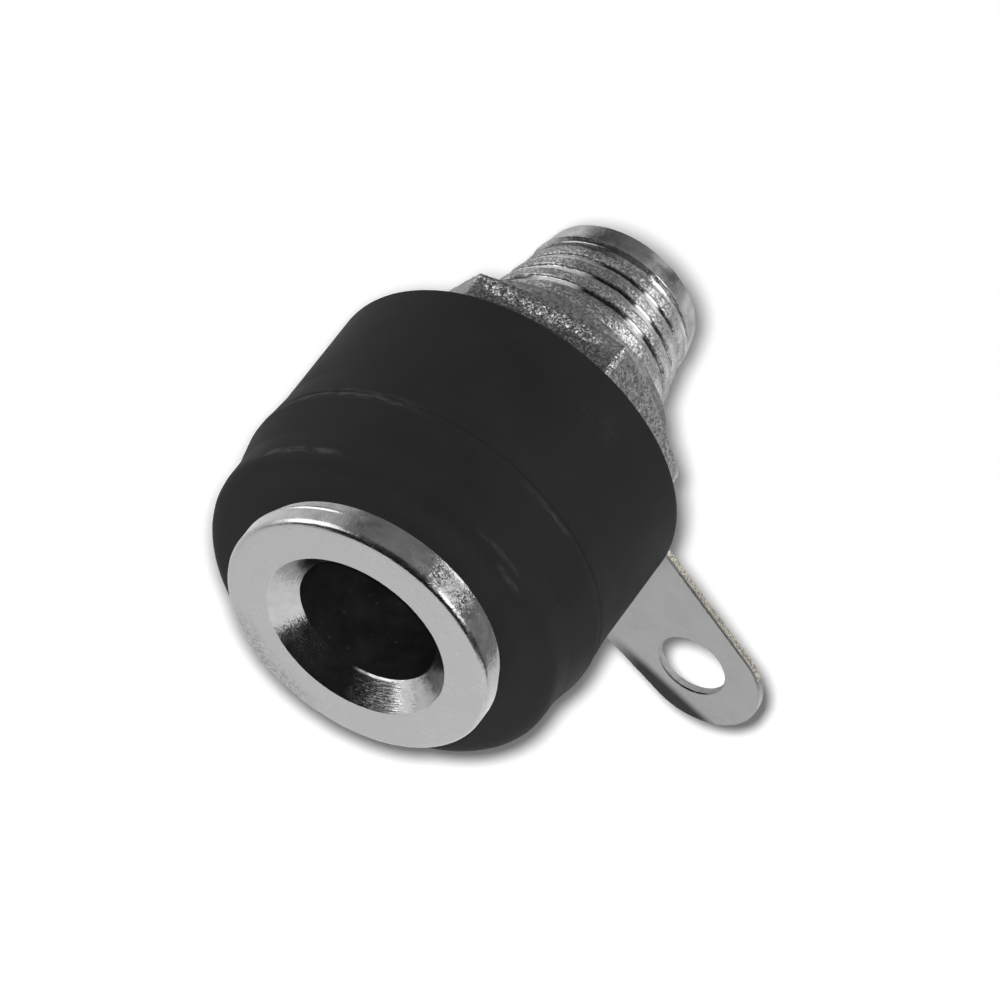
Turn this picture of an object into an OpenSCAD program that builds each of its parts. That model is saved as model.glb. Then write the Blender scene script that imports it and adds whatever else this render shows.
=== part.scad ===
// Panel-mount banana jack for a 4 mm plug.
// A flanged, threaded sleeve carries two insulating bushes, a solder tag and a nut.
// The axis runs along Y with the flange to the front (-Y), and the origin is on the axis
// at the seat where a panel is clamped between the two bushes. Sizes are in millimetres.

/* [Plug bore] */
// Diameter of the bore that takes the plug pin
bore_d = 4.25; // [4.05:0.05:4.4]
// Diameter of the countersink in the flange face
countersink_d = 5.6; // [5:0.1:6.6]
// Full angle of the countersink
countersink_angle = 90; // [80:1:120]
// Width of the chamfer at the bore's far end
bore_exit_chamfer = 0.1; // [0.05:0.01:0.15]

/* [Contact sleeve] */
// Largest diameter of the flange
flange_d = 8.2; // [7.8:0.1:9.5]
// Thickness of the flange
flange_t = 1.1; // [0.9:0.1:2]
// Width of the bevel round the flange face
flange_bevel = 0.1; // [0.05:0.05:0.3]
// Length of the flange's straight edge, bevel included
flange_land = 0.65; // [0.4:0.05:0.8]
// How far the flange's radius falls away from there to its back
flange_fall = 0.2; // [0:0.05:0.4]

/* [Thread and tail] */
// Outer diameter of the thread on the shank
thread_d = 6; // [5.8:0.1:6.6]
// Distance from one groove of the thread to the next
thread_pitch = 0.67; // [0.5:0.01:0.77]
// Depth of the grooves
groove_depth = 0.08; // [0.05:0.01:0.2]
// Length over which a groove falls gently, on the nut's side
groove_fall = 0.2; // [0.1:0.01:0.25]
// Length over which a groove rises steeply again, on the side of the tail's end
groove_rise = 0.03; // [0.02:0.01:0.1]
// Grooves between the nut and the tapering lead
full_grooves = 0; // [0:1:6]
// Grooves in the tapering lead
lead_grooves = 4; // [2:1:5]
// Length of shank that stands out behind the nut
tail_len = 4.15; // [4:0.05:12]
// Length of the plain stretch behind the last groove
plain_len = 0.82; // [0.6:0.01:1]
// Diameter of the tail's end
tail_end_d = 4.9; // [4.8:0.1:5.6]
// Width of the bevel at the tail's end
tail_bevel = 0.08; // [0.05:0.01:0.12]

/* [Front insulator] */
// Height of the front bush from the panel seat to the flange
front_len = 2.65; // [2.4:0.05:5]
// Diameter of the rounded bead at the front
bead_d = 10.8; // [10.3:0.1:11]
// Length of the bead
bead_len = 1.2; // [1.15:0.05:1.4]
// Radius of the bead's rounded front edge
bead_round = 1.1; // [0.4:0.1:1.1]
// Depth of the shallow line between bead and flare
bead_line = 0.03; // [0.02:0.01:0.1]
// Diameter of the rim that bears on the panel
rim_d = 11.2; // [11:0.1:13]
// Length of the straight part of the rim
rim_len = 0.3; // [0.2:0.05:0.5]
// Radius of the rim's edge
rim_round = 0.1; // [0.05:0.01:0.15]
// Diameter of the spigot that fills the panel hole
spigot_d = 8; // [7.6:0.1:9]
// Length of the spigot behind the panel seat
spigot_len = 2.5; // [1.5:0.1:3.5]
// Width of the lead-in bevel on the spigot
spigot_bevel = 0.2; // [0.1:0.05:0.3]

/* [Rear insulator] */
// Diameter of the rear bush
rear_d = 11; // [10.6:0.1:13]
// How far the rear bush's radius flares out at the seam
rear_flare = 0.08; // [0:0.01:0.2]
// Length of the flare
rear_flare_len = 1; // [0.5:0.1:2]
// Length of the rear bush
rear_len = 4.55; // [4.4:0.05:8]
// Radius of the rear bush's edges
rear_round = 0.1; // [0.05:0.01:0.3]

/* [Solder tag] */
// Thickness of the tag
tag_t = 0.25; // [0.2:0.05:0.8]
// Outer diameter of the tag's ring
tag_ring_d = 8.6; // [8:0.1:10]
// Distance from the axis to the centre of the tag's round end
tag_reach = 8.85; // [8:0.05:14]
// Radius of the tag's round end
tag_tip_r = 1.95; // [1.6:0.05:2.4]
// Angle at which each side of the tag widens towards the ring
tag_taper = 4.8; // [1:0.1:6]
// Radius of the fillet where the tab leaves the ring
tag_fillet = 0.8; // [0.3:0.1:1.2]
// Diameter of the wire hole
tag_hole_d = 2.1; // [1.2:0.1:2.6]
// Distance from the round end's centre back to the wire hole
tag_hole_setback = 0.3; // [0:0.1:0.5]
// Angle of the tag below the horizontal, to the right seen from the front
tag_angle = 45.5; // [0:0.5:359.5]

/* [Hex nut] */
// Width of the nut across its flats
nut_af = 8; // [7.6:0.1:10]
// Length of the nut's hexagon
nut_hex_len = 1.8; // [1.4:0.05:4]
// Diameter of the round collar behind the hexagon
nut_collar_d = 7.5; // [7.2:0.1:7.6]
// Length of the collar
nut_collar_len = 0.55; // [0.3:0.05:1]
// Angle of the chamfer on the hexagon's rear corners
nut_chamfer_angle = 30; // [25:1:50]
// Share of the width across flats that the chamfer leaves on the hexagon's rear
nut_face_share = 0.97; // [0.95:0.01:1]
// Width of the bevel at the ends of the nut's thread
nut_mouth_bevel = 0.25; // [0.1:0.05:0.4]
// Angle to which the nut is turned
nut_angle = 8; // [0:1:59]

/* [Fits] */
// Radial gap between the shank and what it passes through
shank_gap = 0.1; // [0.05:0.05:0.2]
// Radial gap between the spigot and its counterbore
spigot_gap = 0.1; // [0.05:0.05:0.2]
// Room left past the end of the spigot
spigot_end_gap = 0.3; // [0.1:0.1:0.6]
// Radial gap left between the nut and the thread's crests
thread_gap = 0.03; // [0.01:0.01:0.05]

/* [Hidden] */
$fn = 96;

bore_r = bore_d / 2;
countersink_r = countersink_d / 2;
countersink_depth = (countersink_r - bore_r) / tan(countersink_angle / 2);
flange_r = flange_d / 2;
thread_r = thread_d / 2;
tail_end_r = tail_end_d / 2;
bead_r = bead_d / 2;
rim_r = rim_d / 2;
spigot_r = spigot_d / 2;
rear_r = rear_d / 2;
tag_ring_r = tag_ring_d / 2;
tag_hole_r = tag_hole_d / 2;
tag_hole_reach = tag_reach - tag_hole_setback;
nut_corner_r = nut_af / 2 / cos(30);
clear_r = thread_r + shank_gap;
counterbore_r = spigot_r + spigot_gap;
counterbore_depth = spigot_len + spigot_end_gap;

// Places along the axis, counted to the rear from the panel seat
bush_front_z = -front_len;
face_z = bush_front_z - flange_t;
bush_rear_z = rear_len;
tag_rear_z = bush_rear_z + tag_t;
hex_rear_z = tag_rear_z + nut_hex_len;
nut_rear_z = hex_rear_z + nut_collar_len;
tail_z = nut_rear_z + tail_len;
last_groove_z = tail_z - plain_len;

// The lead tapers from the first of its grooves to the tail's end
lead_z = last_groove_z - (lead_grooves - 1) * thread_pitch + groove_rise;
lead_slope = (thread_r - tail_end_r) / (tail_z - tail_bevel - lead_z);

// Overshoot of a cut past the face it opens
cut = 0.5;

plating = [0.72, 0.71, 0.69];
rough_plating = [0.6, 0.6, 0.59];
tag_plating = [0.68, 0.68, 0.67];
black = [0.09, 0.09, 0.09];

// Turns a shape drawn along Z so that it lies along Y
module along_axis() {
    rotate([-90, 0, 0])
        children();
}

// Spins a half profile drawn as radius against place along the axis
module turned(points) {
    rotate_extrude()
        polygon(points);
}

// Half profile of a disc with rounded front and rear edges
module rounded_profile(r, front, rear, front_round, rear_round) {
    translate([0, front])
        square([r - front_round, rear - front - rear_round]);
    translate([0, front + front_round])
        square([r - rear_round, rear - front - front_round]);
    translate([0, front + front_round])
        square([r, rear - front - front_round - rear_round]);
    translate([r - front_round, front + front_round])
        circle(front_round);
    translate([r - rear_round, rear - rear_round])
        circle(rear_round);
}

// Hole through a bush or a tag, with room round the shank
module shank_hole(from, to) {
    translate([0, 0, from - cut])
        cylinder(r = clear_r, h = to - from + 2 * cut);
}

// Radius of the thread's crests at a place along the axis
function crest_r(z) =
    thread_r - max(0, z - lead_z) * lead_slope;

// Half profile of one groove, from its front edge to its rear edge
function groove(z) = [
    [crest_r(z - groove_fall), z - groove_fall],
    [crest_r(z) - groove_depth, z],
    [crest_r(z + groove_rise), z + groove_rise]
];

// Outside of the sleeve: flange, shank with the thread's grooves as rings, and tapering lead
module sleeve_outside() {
    grooves = full_grooves + lead_grooves;
    turned(concat(
        [
            [0, face_z],
            [flange_r - flange_bevel, face_z],
            [flange_r, face_z + flange_bevel],
            [flange_r, face_z + flange_land],
            [flange_r - flange_fall, bush_front_z],
            [thread_r, bush_front_z]
        ],
        [for (i = [1:grooves]) each groove(last_groove_z - (grooves - i) * thread_pitch)],
        [
            [tail_end_r, tail_z - tail_bevel],
            [tail_end_r - tail_bevel, tail_z],
            [0, tail_z]
        ]
    ));
}

// Countersink, plug bore and the chamfer where the bore comes out at the tail
module sleeve_inside() {
    lip = cut * tan(countersink_angle / 2);
    turned([
        [0, face_z - cut],
        [countersink_r + lip, face_z - cut],
        [bore_r, face_z + countersink_depth],
        [bore_r, tail_z - bore_exit_chamfer],
        [bore_r + bore_exit_chamfer + cut, tail_z + cut],
        [0, tail_z + cut]
    ]);
}

module contact_sleeve() {
    color(plating)
        along_axis()
            difference() {
                sleeve_outside();
                sleeve_inside();
            }
}

// Half profile of the front bush: bead, shallow line, flare, rim and spigot
module front_profile() {
    line_z = bush_front_z + bead_len;
    line_r = bead_r - bead_line;
    edge_round = min(bead_round, bead_len - 2 * bead_line);
    rounded_profile(bead_r, bush_front_z, line_z, edge_round, bead_line);
    polygon([
        [0, line_z - bead_line],
        [line_r, line_z - bead_line],
        [line_r, line_z],
        [rim_r, -rim_len],
        [rim_r, -rim_round],
        [rim_r - rim_round, 0],
        [spigot_r, 0],
        [spigot_r, spigot_len - spigot_bevel],
        [spigot_r - spigot_bevel, spigot_len],
        [0, spigot_len]
    ]);
    translate([rim_r - rim_round, -rim_round])
        circle(rim_round);
}

module front_insulator() {
    color(black)
        along_axis()
            difference() {
                rotate_extrude()
                    front_profile();
                shank_hole(bush_front_z, spigot_len);
            }
}

// Half profile of the rear bush, flared towards the seam
module rear_profile() {
    seam_r = rear_r + rear_flare;
    rounded_profile(rear_r, 0, bush_rear_z, rear_round, rear_round);
    polygon([
        [0, 0],
        [seam_r - rear_round, 0],
        [seam_r, rear_round],
        [rear_r, rear_flare_len],
        [0, rear_flare_len]
    ]);
    translate([seam_r - rear_round, rear_round])
        circle(rear_round);
}

module rear_insulator() {
    color(black)
        along_axis()
            difference() {
                rotate_extrude()
                    rear_profile();
                translate([0, 0, -cut])
                    cylinder(r = counterbore_r, h = counterbore_depth + cut);
                shank_hole(0, bush_rear_z);
            }
}

// Half width of the tag's tab at a distance from the axis
function tab_half(x) =
    tag_tip_r / cos(tag_taper) + (tag_reach - x) * tan(tag_taper);

// Place along the tab where a fillet's centre sits, clear of the ring and of the tab's side
function fillet_x() =
    let (slope = tan(tag_taper))
    let (reach = tag_ring_r + tag_fillet)
    let (side = tab_half(0) + tag_fillet / cos(tag_taper))
    let (a = 1 + slope * slope)
    let (b = side * slope)
    (b + sqrt(b * b - a * (side * side - reach * reach))) / a;

// One side's fillet between ring and tab
module tab_fillet() {
    x = fillet_x();
    y = tab_half(0) + tag_fillet / cos(tag_taper) - x * tan(tag_taper);
    on_ring = tag_ring_r / (tag_ring_r + tag_fillet);
    difference() {
        polygon([
            [0, 0],
            [x - tag_fillet * sin(tag_taper), y - tag_fillet * cos(tag_taper)],
            [x, y],
            [x * on_ring, y * on_ring]
        ]);
        translate([x, y])
            circle(tag_fillet);
    }
}

// Flat outline of the tag, with its tab along X
module tag_outline() {
    touch_x = tag_reach + tag_tip_r * sin(tag_taper);
    touch_y = tag_tip_r * cos(tag_taper);
    circle(tag_ring_r);
    polygon([
        [0, -tab_half(0)],
        [touch_x, -touch_y],
        [touch_x, touch_y],
        [0, tab_half(0)]
    ]);
    translate([tag_reach, 0])
        circle(tag_tip_r);
    tab_fillet();
    mirror([0, 1])
        tab_fillet();
}

module solder_tag() {
    color(tag_plating)
        along_axis()
            rotate([0, 0, tag_angle])
                difference() {
                    translate([0, 0, bush_rear_z])
                        linear_extrude(tag_t)
                            tag_outline();
                    shank_hole(bush_rear_z, tag_rear_z);
                    translate([tag_hole_reach, 0, bush_rear_z - cut])
                        cylinder(r = tag_hole_r, h = tag_t + 2 * cut);
                }
}

// Cone that takes the corners off the hexagon's rear
module nut_chamfer() {
    face_r = nut_face_share * nut_af / 2;
    outer_r = nut_corner_r + cut;
    turned([
        [0, tag_rear_z - cut],
        [outer_r, tag_rear_z - cut],
        [outer_r, hex_rear_z - (outer_r - face_r) * tan(nut_chamfer_angle)],
        [face_r, hex_rear_z],
        [0, hex_rear_z]
    ]);
}

// Threaded hole at the size of the thread's crests, bevelled at both ends
module nut_hole() {
    hole_r = thread_r + thread_gap;
    turned([
        [0, tag_rear_z - cut],
        [hole_r + nut_mouth_bevel + cut, tag_rear_z - cut],
        [hole_r, tag_rear_z + nut_mouth_bevel],
        [hole_r, nut_rear_z - nut_mouth_bevel],
        [hole_r + nut_mouth_bevel + cut, nut_rear_z + cut],
        [0, nut_rear_z + cut]
    ]);
}

module hex_nut() {
    color(rough_plating)
        along_axis()
            difference() {
                union() {
                    intersection() {
                        rotate([0, 0, nut_angle])
                            translate([0, 0, tag_rear_z])
                                cylinder(r = nut_corner_r, h = nut_hex_len, $fn = 6);
                        nut_chamfer();
                    }
                    translate([0, 0, tag_rear_z])
                        cylinder(r = nut_collar_d / 2, h = nut_hex_len + nut_collar_len);
                }
                nut_hole();
            }
}

contact_sleeve();
front_insulator();
rear_insulator();
solder_tag();
hex_nut();
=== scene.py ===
import math

import bmesh
import bpy
from mathutils import Matrix, Quaternion, Vector
from mathutils import noise as solid_noise


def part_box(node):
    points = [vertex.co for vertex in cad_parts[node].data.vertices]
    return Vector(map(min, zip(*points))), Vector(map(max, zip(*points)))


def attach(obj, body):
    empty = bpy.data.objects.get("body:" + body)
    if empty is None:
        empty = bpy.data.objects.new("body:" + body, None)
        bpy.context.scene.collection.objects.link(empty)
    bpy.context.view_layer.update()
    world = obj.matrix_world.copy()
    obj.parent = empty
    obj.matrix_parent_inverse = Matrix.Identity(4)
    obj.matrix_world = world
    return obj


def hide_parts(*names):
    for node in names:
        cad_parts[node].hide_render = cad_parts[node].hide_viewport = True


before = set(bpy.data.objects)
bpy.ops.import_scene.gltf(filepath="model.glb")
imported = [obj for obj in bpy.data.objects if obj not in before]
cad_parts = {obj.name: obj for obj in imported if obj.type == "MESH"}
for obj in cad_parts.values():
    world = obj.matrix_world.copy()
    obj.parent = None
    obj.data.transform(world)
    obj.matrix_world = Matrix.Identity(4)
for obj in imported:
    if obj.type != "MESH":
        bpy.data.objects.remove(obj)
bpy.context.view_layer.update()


def ends(solid):
    """Where a solid starts and ends along the jack's axis."""
    low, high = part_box(solid)
    return low.y, high.y


# Sizes of the jack in metres; lengths along the axis are places on Y, counted from the panel seat
MM = 0.001
FACE_Y, TAIL_Y = ends("contact_sleeve")
BUSH_FRONT_Y, SPIGOT_END_Y = ends("front_insulator")
SEAM_Y, BUSH_REAR_Y = ends("rear_insulator")
TAG_FRONT_Y, TAG_REAR_Y = ends("solder_tag")
NUT_REAR_Y = ends("hex_nut")[1]
TAG_LOW_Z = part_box("solder_tag")[0].z

# Sleeve: flange, countersink and bore
FLANGE_R = 4.1 * MM
FLANGE_EDGE = 0.17 * MM
FLANGE_LAND_Y = FACE_Y + 0.65 * MM
FLANGE_FALL = 0.2 * MM
SINK_R = 2.8 * MM
BORE_R = 2.125 * MM
SINK_END_Y = FACE_Y + (SINK_R - BORE_R)
BORE_EXIT_CHAMFER = 0.1 * MM
SHANK_HOLE_R = 3.1 * MM

# Sleeve: worn thread on the tapering tail
THREAD_R = 3.0 * MM
THREAD_PITCH = 0.67 * MM
GROOVE_DEPTH = 0.06 * MM
GROOVE_WIDTH = 0.16 * MM
GROOVE_SHOULDER = 0.22 * MM
SHOULDER_SLOPE = 0.45
GROOVE_RISE = 0.045 * MM
LAST_GROOVE_Y = TAIL_Y - 0.82 * MM
FIRST_GROOVE_Y = LAST_GROOVE_Y - 3 * THREAD_PITCH
LEAD_Y = FIRST_GROOVE_Y + 0.31 * MM
TAIL_END_R = 2.45 * MM
TAIL_BEVEL = 0.08 * MM
LEAD_SLOPE = (THREAD_R - TAIL_END_R) / (TAIL_Y - TAIL_BEVEL - LEAD_Y)
# Where the groove fades in and out, and where the stepped crests give way to the plain end
THREAD_FROM_Y = FIRST_GROOVE_Y - 0.45 * MM
THREAD_FADES_IN = 0.25 * MM
THREAD_TO_Y = LAST_GROOVE_Y + 0.06 * MM
THREAD_FADES_OUT = 0.5 * MM
STEPS_TO_Y = LAST_GROOVE_Y + 0.02 * MM
STEPS_FADE_OUT = 0.06 * MM
# Turn at which the helix passes the places of the grooves, and how far its line wavers, in turns
GROOVE_TURN = 65 / 360
GROOVE_WANDER = 0.2
WANDER_GRAIN = 0.5 * MM

# Front bush
BEAD_R = 5.4 * MM
BEAD_ROUND = 1.1 * MM
BEAD_END_Y = BUSH_FRONT_Y + 1.2 * MM
BEAD_LINE = 0.03 * MM
RIM_R = 5.6 * MM
RIM_Y = SEAM_Y - 0.3 * MM
RIM_ROUND = 0.1 * MM
SPIGOT_R = 4.0 * MM
SPIGOT_BEVEL = 0.2 * MM

# Rear bush
REAR_R = 5.5 * MM
SEAM_R = 5.58 * MM
REAR_FLARE_Y = SEAM_Y + 1.0 * MM
REAR_ROUND = 0.1 * MM
COUNTERBORE_R = 4.1 * MM
COUNTERBORE_END_Y = SEAM_Y + 2.8 * MM

# Nut
NUT_FLATS = 8.0 * MM
NUT_CORNER_R = NUT_FLATS / 2 / math.cos(math.radians(30))
NUT_FACE_R = 0.97 * NUT_FLATS / 2
NUT_CHAMFER = (NUT_CORNER_R - NUT_FACE_R) * math.tan(math.radians(20))
NUT_COLLAR_R = 3.75 * MM
HEX_REAR_Y = NUT_REAR_Y - 0.55 * MM
NUT_HOLE_R = 3.03 * MM
NUT_MOUTH = 0.25 * MM
NUT_TURN = math.radians(22)
NUT_EDGE = 0.05 * MM
NUT_GRAIN = 0.2 * MM
NUT_GRAIN_DEPTH = 0.05 * MM

# Solder tag
TAG_RING_R = 4.3 * MM
TAG_REACH = 8.85 * MM
TAG_TIP_R = 1.95 * MM
TAG_TAPER = math.radians(4.8)
TAG_FILLET = 0.8 * MM
TAG_HOLE_R = 1.05 * MM
TAG_HOLE_REACH = 8.55 * MM
TAG_SHEARED_TO = 9.9 * MM
TAG_TURN = math.radians(45.5)
TAG_ROLL = 0.04 * MM
TAG_HOLE_ROLL = 0.06 * MM
TAG_TEAR = 0.012 * MM
TEAR_GRAIN = 0.09 * MM

# Meshes: columns round the axis, and the angle between faces that keep a crisp edge
BUSH_SEGMENTS = 192
SLEEVE_SEGMENTS = 240
NUT_SEGMENTS = 480
CRISP_ANGLE = math.radians(38)

# The photograph's view: where the camera stands, how it is turned and what it looks at
VIEW_AZIMUTH = 29.76
VIEW_ELEVATION = 47.2
VIEW_ROLL = math.radians(-0.57)
VIEW_DISTANCE = 205.1 * MM
VIEW_LENS = 271.5
VIEW_SENSOR = 36.0
VIEW_SIDE = 3.945 * MM
VIEW_UP = 3.730 * MM

# The studio
KEY_LIGHT_SIZE = 4.4 * MM
KEY_LIGHT_POWER = 0.45
KEY_LIGHT_DISTANCE = 168 * MM
KEY_LIGHT_LEFT = 1.35 * MM
KEY_LIGHT_UP = 1.5 * MM
SOFTBOX_DISTANCE = 500 * MM
PAPER_R = 400 * MM
PAPER_DROP = 12 * MM
CARD_R = 19 * MM


# Node trees

def feed(tree, socket, value):
    """Links a field to an input, or sets the input to a plain value."""
    if isinstance(value, Field):
        tree.links.new(value.socket, socket)
    else:
        socket.default_value = value


def node(tree, kind, inputs=(), **settings):
    """Adds a node with its settings, and feeds its inputs by name or number."""
    made = tree.nodes.new(kind)
    for name, value in settings.items():
        setattr(made, name, value)
    for key, value in dict(inputs).items():
        feed(tree, made.inputs[key], value)
    return made


def field(tree, kind, inputs=(), output=0, **settings):
    """Adds a node and gives one of its outputs as a field."""
    return Field(tree, node(tree, kind, inputs, **settings).outputs[output])


def arithmetic(tree, operation, *values):
    """One step of arithmetic on fields and plain numbers."""
    return field(tree, "ShaderNodeMath", enumerate(values), operation=operation)


class Field:
    """A value that varies over a piece; sums and products of fields add the nodes that work them out."""

    def __init__(self, tree, socket):
        self.tree = tree
        self.socket = socket

    def step(self, operation, *others):
        """One step of arithmetic that starts from this field."""
        return arithmetic(self.tree, operation, self, *others)

    def __add__(self, other):
        return self.step("ADD", other)

    def __sub__(self, other):
        return self.step("SUBTRACT", other)

    def __rsub__(self, other):
        return arithmetic(self.tree, "SUBTRACT", other, self)

    def __mul__(self, other):
        return self.step("MULTIPLY", other)

    def __truediv__(self, other):
        return self.step("DIVIDE", other)

    def __rtruediv__(self, other):
        return arithmetic(self.tree, "DIVIDE", other, self)

    def __abs__(self):
        return self.step("ABSOLUTE")

    def mapped(self, manner, low, high, out_low, out_high):
        """This field carried from one range to another."""
        return field(self.tree, "ShaderNodeMapRange", {
            "Value": self, "From Min": low, "From Max": high, "To Min": out_low, "To Max": out_high,
        }, "Result", interpolation_type=manner)

    def eased(self, low, high, out_low=0.0, out_high=1.0):
        """This field carried softly from one range to another."""
        return self.mapped("SMOOTHSTEP", low, high, out_low, out_high)

    def straight(self, low, high, out_low=0.0, out_high=1.0):
        """This field carried in a straight line from one range to another."""
        return self.mapped("LINEAR", low, high, out_low, out_high)

    def vector_step(self, operation, inputs=(), output="Vector"):
        """One step of vector arithmetic that starts from this field."""
        inputs = {0: self, **dict(inputs)}
        return field(self.tree, "ShaderNodeVectorMath", inputs, output, operation=operation)


def xyz(vector):
    """The three parts of a vector."""
    parts = node(vector.tree, "ShaderNodeSeparateXYZ", {0: vector}).outputs
    return [Field(vector.tree, part) for part in parts]


def joined(*parts):
    """A vector from its three parts, fields or plain numbers."""
    tree = next(part.tree for part in parts if isinstance(part, Field))
    return field(tree, "ShaderNodeCombineXYZ", enumerate(parts))


def strongest(first, *others):
    """The largest of several values at each place."""
    for other in others:
        first = first.step("MAXIMUM", other)
    return first


def lying_along(first, second, direction):
    """How far two coordinates reach along a flat direction."""
    return first * direction[0] + second * direction[1]


def fading(value, stops):
    """A level that follows the given stops of value and level."""
    made = node(value.tree, "ShaderNodeValToRGB", {0: value})
    marks = made.color_ramp.elements
    while len(marks) < len(stops):
        marks.new(0.5)
    for mark, (at, level) in zip(marks, stops):
        mark.position = at
        mark.color = grey(level)
    return Field(value.tree, made.outputs["Color"])


# What finishes are made of

def new_finish(name):
    """An empty material, and the coordinates of the piece that it covers."""
    material = bpy.data.materials.new(name)
    material.use_nodes = True
    return material, field(material.node_tree, "ShaderNodeTexCoord", output="Object")


def finished(material, settings):
    """Sets the main shader's inputs, each to a plain value or to a field."""
    shader = material.node_tree.nodes["Principled BSDF"]
    for name, value in settings.items():
        feed(material.node_tree, shader.inputs[name], value)
    return material


def grey(level):
    """The colour of a plain or varying level of grey."""
    return joined(level, level, level) if isinstance(level, Field) else (level, level, level, 1)


def two_tones(factor, first, second):
    """A colour that goes from the first to the second as the factor goes from 0 to 1."""
    colours = {"Factor": factor, "A": first, "B": second}
    return field(factor.tree, "ShaderNodeMix", colours, "Result", data_type="RGBA")


def grain(place, size, detail=2.0, roughness=0.5):
    """Noise with specks of about the given size."""
    return field(place.tree, "ShaderNodeTexNoise", {
        "Vector": place, "Scale": 1 / size, "Detail": detail, "Roughness": roughness})


def crystals(place, size):
    """Cells of about the given size, each with a random colour of its own."""
    return field(place.tree, "ShaderNodeTexVoronoi", {"Vector": place, "Scale": 1 / size}, "Color")


def from_axis(place):
    """Distance of a place from the jack's axis."""
    x, _, z = xyz(place)
    return joined(x, 0.0, z).vector_step("LENGTH", output="Value")


def turning_marks(place, width, around):
    """Marks left by turning: fine across, also on a face or a cone, and long round the axis."""
    x, y, z = xyz(place)
    radius = from_axis(place)
    across = (radius - y * 0.7) / width
    return grain(joined(across, x / radius * around, z / radius * around), 1.0)


def arc_patch(place, turn, reach, at, width):
    """A soft patch round the axis: centred on a turn in degrees and a place along the axis."""
    x, y, z = xyz(place)
    centre = math.radians(turn)
    facing = lying_along(x, z, (math.cos(centre), math.sin(centre))) / from_axis(place)
    around = facing.eased(math.cos(math.radians(reach)), math.cos(math.radians(reach * 0.3)))
    return around * abs(y - at).eased(width * 0.2, width, 1.0, 0.0)


def bump(height, depth, under=None, strength=1.0):
    """Turns a height from 0 to 1 into a surface that deep, over another surface if given."""
    inputs = {"Height": height, "Distance": depth, "Strength": strength}
    if under is not None:
        inputs["Normal"] = under
    return field(height.tree, "ShaderNodeBump", inputs, "Normal")


def tipped(surface, tilt):
    """A surface's direction tipped by a vector."""
    return surface.vector_step("ADD", {1: tilt}).vector_step("NORMALIZE")


def facets(place, size, lean, surface):
    """Crystal facets of about the given size, each leaning its own way, over another surface."""
    ways = crystals(place, size).vector_step("SUBTRACT", {1: (0.5, 0.5, 0.5)})
    return tipped(surface, ways.vector_step("SCALE", {"Scale": lean}))


# Finishes; arcs are given as turn and reach in degrees, place and width along the axis

def rim_finish():
    """Nickel on the flange's edge: turning marks, a ridge on the left and one worn, sparkling patch."""
    material, place = new_finish("plated_rim")
    _, y, _ = xyz(place)
    mottle = grain(place, 0.35 * MM, detail=4.0, roughness=0.65)
    worn = arc_patch(place, 46, 15, FACE_Y + 0.55 * MM, 0.9 * MM)
    on_edge = y.eased(FACE_Y + 0.1 * MM, FACE_Y + 0.18 * MM)
    plating = two_tones(mottle.eased(0.3, 0.7), grey(0.37), grey(0.46))
    ridge = abs(y - FLANGE_LAND_Y).eased(0.0, 0.09 * MM, 1.0, 0.0)
    ridge = ridge * arc_patch(place, 124, 32, FLANGE_LAND_Y, 0.5 * MM)
    surface = bump(turning_marks(place, 0.04 * MM, 2.0), 0.003 * MM)
    surface = bump(mottle, 0.01 * MM, surface)
    surface = bump(ridge, 0.026 * MM, surface)
    # The edge's falling back half shines like its front half
    back = y.eased(FLANGE_LAND_Y - 0.03 * MM, FLANGE_LAND_Y + 0.03 * MM, 0.0, -0.44)
    surface = tipped(surface, joined(0.0, back, 0.0))
    return finished(material, {
        "Metallic": 1.0,
        "Base Color": two_tones(worn * on_edge * 0.8, plating, grey(0.08)),
        "Roughness": mottle.eased(0.25, 0.75, 0.18, 0.32),
        "Normal": facets(place, 0.045 * MM, worn * 0.2 + 0.04, surface)})


def face_finish():
    """Nickel on the flange's face: satin, with a rubbed patch low on the left."""
    material, place = new_finish("plated_face")
    cloud = grain(place, 0.5 * MM, detail=4.0, roughness=0.6)
    specks = grain(place, 0.09 * MM, detail=3.0, roughness=0.7).eased(0.42, 0.62)
    rubbed = arc_patch(place, 222, 32, FACE_Y, 1.0 * MM) * from_axis(place).eased(3.2 * MM, 3.9 * MM)
    level = cloud.eased(0.3, 0.7, 0.37, 0.39) * (1 - specks * rubbed * 0.42)
    return finished(material, {
        "Metallic": 1.0,
        "Base Color": grey(level),
        "Roughness": cloud.eased(0.25, 0.75, 0.2, 0.3),
        "Normal": facets(place, 0.06 * MM, rubbed * 0.07 + 0.03, bump(cloud, 0.004 * MM))})


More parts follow.
